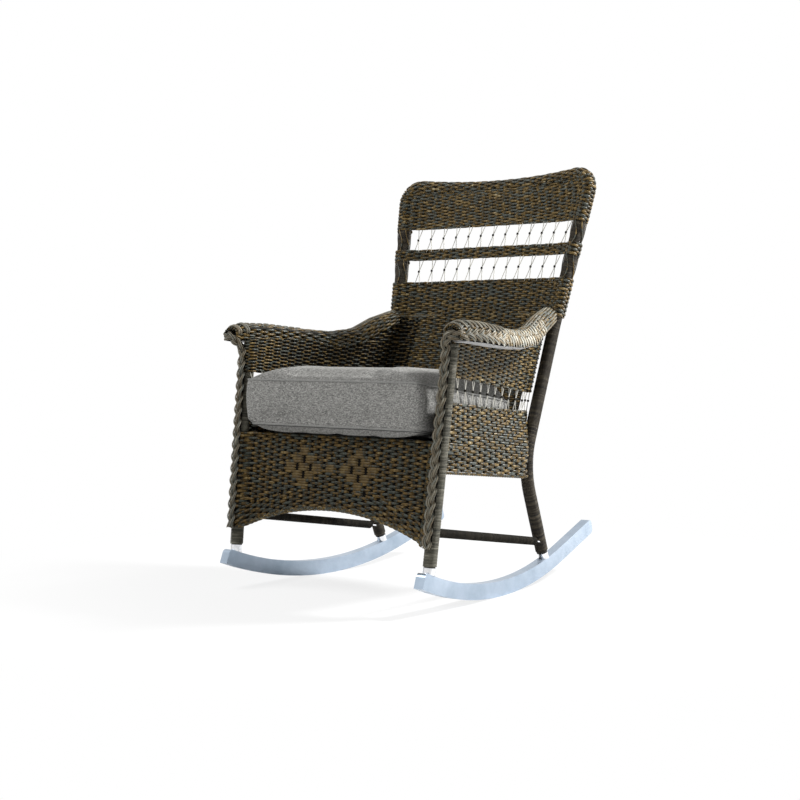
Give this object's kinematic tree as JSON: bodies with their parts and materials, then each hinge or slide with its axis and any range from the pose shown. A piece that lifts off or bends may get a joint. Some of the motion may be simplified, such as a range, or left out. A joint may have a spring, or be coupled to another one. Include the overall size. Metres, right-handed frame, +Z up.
{
  "type": "woven porch rocking chair",
  "caption": "High-backed woven armchair on two curved metal rockers, with openwork bands, braided edges and a loose boxed seat cushion.",
  "frame": {"origin": "centre of the footprint box on the floor, midway between the two rockers and midway between their ends", "axes": "+Z up; the front of the chair faces -Y; +X is the side at the right of someone looking at the front"},
  "size_m": [0.7222, 0.8249, 1.0525],
  "materials": {
    "rocker_bar": "brushed satin",
    "frame_tube": "mill",
    "ferrule_metal": "polished",
    "arm_plate_metal": "satin",
    "plug_plastic": "matte",
    "bolt_steel": "satin",
    "leg_cord": "matte ribbed",
    "woven_strand": "satin woven",
    "openwork_strand": "satin",
    "plait": "satin plaited",
    "edge_rod": "satin",
    "webbing": "woven tape",
    "cushion_cloth": "heathered weave",
    "cushion_filling": "foam"
  },
  "bodies": {
    "chair": {"rocker_right": "rocker_bar", "rocker_left": "rocker_bar", "front_leg_tube_right": "frame_tube", "front_leg_tube_left": "frame_tube", "rear_leg_and_back_post_right": "frame_tube", "rear_leg_and_back_post_left": "frame_tube", "top_rail_tube": "frame_tube", "stretcher_tube_right": "frame_tube", "stretcher_tube_left": "frame_tube", "arm_core_rod_right": "frame_tube", "arm_core_rod_left": "frame_tube", "front_seat_rail": "frame_tube", "side_seat_rail_right": "frame_tube", "side_seat_rail_left": "frame_tube", "rear_seat_rail": "frame_tube", "seat_bracket_right": "frame_tube", "seat_bracket_left": "frame_tube", "front_leg_ferrule_right": "ferrule_metal", "front_leg_ferrule_left": "ferrule_metal", "rear_leg_ferrule_right": "ferrule_metal", "rear_leg_ferrule_left": "ferrule_metal", "stretcher_tab_right": "ferrule_metal", "stretcher_tab_left": "ferrule_metal", "arm_plate_right": "arm_plate_metal", "arm_plate_left": "arm_plate_metal", "leg_plugs": "plug_plastic", "rocker_bolts": "bolt_steel", "front_leg_wrap_right": "leg_cord", "front_leg_wrap_left": "leg_cord", "rear_leg_wrap_right": "leg_cord", "rear_leg_wrap_left": "leg_cord", "stretcher_wrap_right": "leg_cord", "stretcher_wrap_left": "leg_cord", "side_panel_lower_right": "woven_strand", "side_panel_lower_left": "woven_strand", "side_panel_upper_right": "woven_strand", "side_panel_upper_left": "woven_strand", "back_panel_lower": "woven_strand", "back_panel_middle": "woven_strand", "back_panel_top": "woven_strand", "front_skirt": "woven_strand", "arm_weave_right": "woven_strand", "arm_weave_left": "woven_strand", "back_post_wrap_right": "woven_strand", "back_post_wrap_left": "woven_strand", "top_rail_wrap": "woven_strand", "side_openwork_right": "openwork_strand", "side_openwork_left": "openwork_strand", "back_openwork_lower": "openwork_strand", "back_openwork_upper": "openwork_strand", "arm_braid_right": "plait", "arm_braid_left": "plait", "front_leg_braid_right": "plait", "front_leg_braid_left": "plait", "skirt_edge_rod": "edge_rod", "shell_edge_rods": "edge_rod", "long_seat_straps": "webbing", "cross_seat_straps": "webbing"},
    "seat_cushion": {"cushion_cover": "cushion_cloth", "cushion_foam": "cushion_filling"}
  },
  "joints": [
    {"name": "cushion_lift", "type": "slide", "parent": "chair", "child": "seat_cushion", "axis": [0, 0, 1], "range_m": [0, 0.35]}
  ]
}
